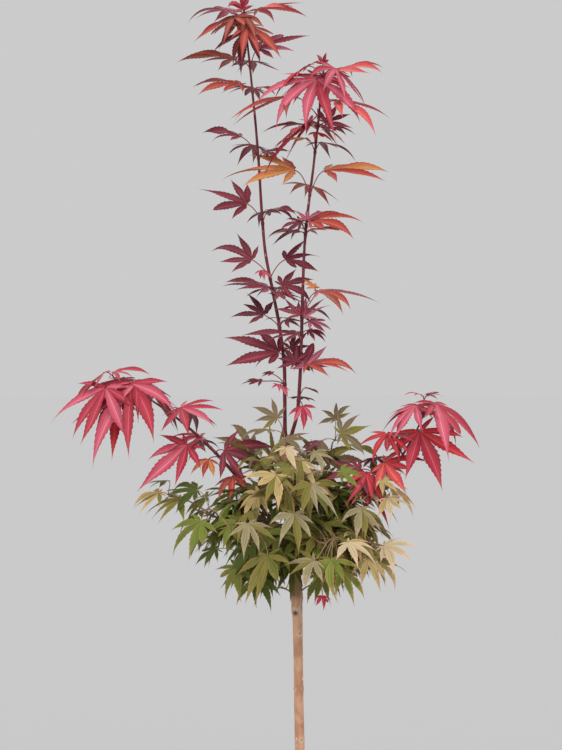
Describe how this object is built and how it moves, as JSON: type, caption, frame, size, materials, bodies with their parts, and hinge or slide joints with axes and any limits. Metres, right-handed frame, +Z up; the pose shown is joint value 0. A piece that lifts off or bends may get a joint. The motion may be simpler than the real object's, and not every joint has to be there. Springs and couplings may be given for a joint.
{
  "type": "japanese maple tree",
  "caption": "Young japanese maple grafted on a slim clear stem, with a round olive head of deeply cut leaves, tall dark red leaders and arching boughs of drooping crimson leaves.",
  "frame": {"origin": "middle of the flat cut under the trunk, at ground level", "axes": "+Z up along the trunk, +X to the right and -Y towards the viewer when the tree is seen from its front, with the two leaders side by side"},
  "size_m": [0.4598, 0.245, 1.2601],
  "materials": {
    "bark": "matte bark with small pale pores",
    "dark_bark": "satin dark red young bark",
    "crimson_leaves": "soft matte leaf",
    "burgundy_leaves": "soft matte leaf",
    "green_leaves": "soft matte leaf"
  },
  "bodies": {
    "root": {"bough_green_back": "bark", "bough_green_back_left": "bark", "bough_green_back_right": "bark", "bough_green_front_left": "bark", "bough_green_front_right": "bark", "bough_green_left": "bark", "bough_green_right": "bark", "bough_red_left": "dark_bark", "bough_red_right": "dark_bark", "leader_left": "dark_bark", "leader_right": "dark_bark", "leaves_back": "green_leaves", "leaves_back_left": "green_leaves", "leaves_back_right": "green_leaves", "leaves_front": "green_leaves", "leaves_front_left": "green_leaves", "leaves_front_right": "green_leaves", "leaves_heart_left": "green_leaves", "leaves_heart_right": "green_leaves", "leaves_left": "green_leaves", "leaves_left_1": "burgundy_leaves", "leaves_left_2": "burgundy_leaves", "leaves_left_3": "burgundy_leaves", "leaves_left_4": "burgundy_leaves", "leaves_left_5": "burgundy_leaves", "leaves_left_6": "burgundy_leaves", "leaves_left_7": "burgundy_leaves", "leaves_left_8": "burgundy_leaves", "leaves_left_tip": "crimson_leaves", "leaves_low_back": "green_leaves", "leaves_low_left": "green_leaves", "leaves_low_right": "green_leaves", "leaves_red_left_inner": "crimson_leaves", "leaves_red_left_middle": "crimson_leaves", "leaves_red_left_tip": "crimson_leaves", "leaves_red_right_inner": "crimson_leaves", "leaves_red_right_tip": "crimson_leaves", "leaves_right": "green_leaves", "leaves_right_1": "crimson_leaves", "leaves_right_2": "burgundy_leaves", "leaves_right_3": "burgundy_leaves", "leaves_right_4": "burgundy_leaves", "leaves_right_5": "burgundy_leaves", "leaves_right_6": "burgundy_leaves", "leaves_right_7": "burgundy_leaves", "leaves_right_8": "crimson_leaves", "leaves_right_tip": "crimson_leaves", "leaves_upper_left": "green_leaves", "leaves_upper_right": "green_leaves", "shoot_front": "bark", "shoot_upper_left": "bark", "shoot_upper_right": "bark", "trunk": "bark"}
  },
  "joints": []
}
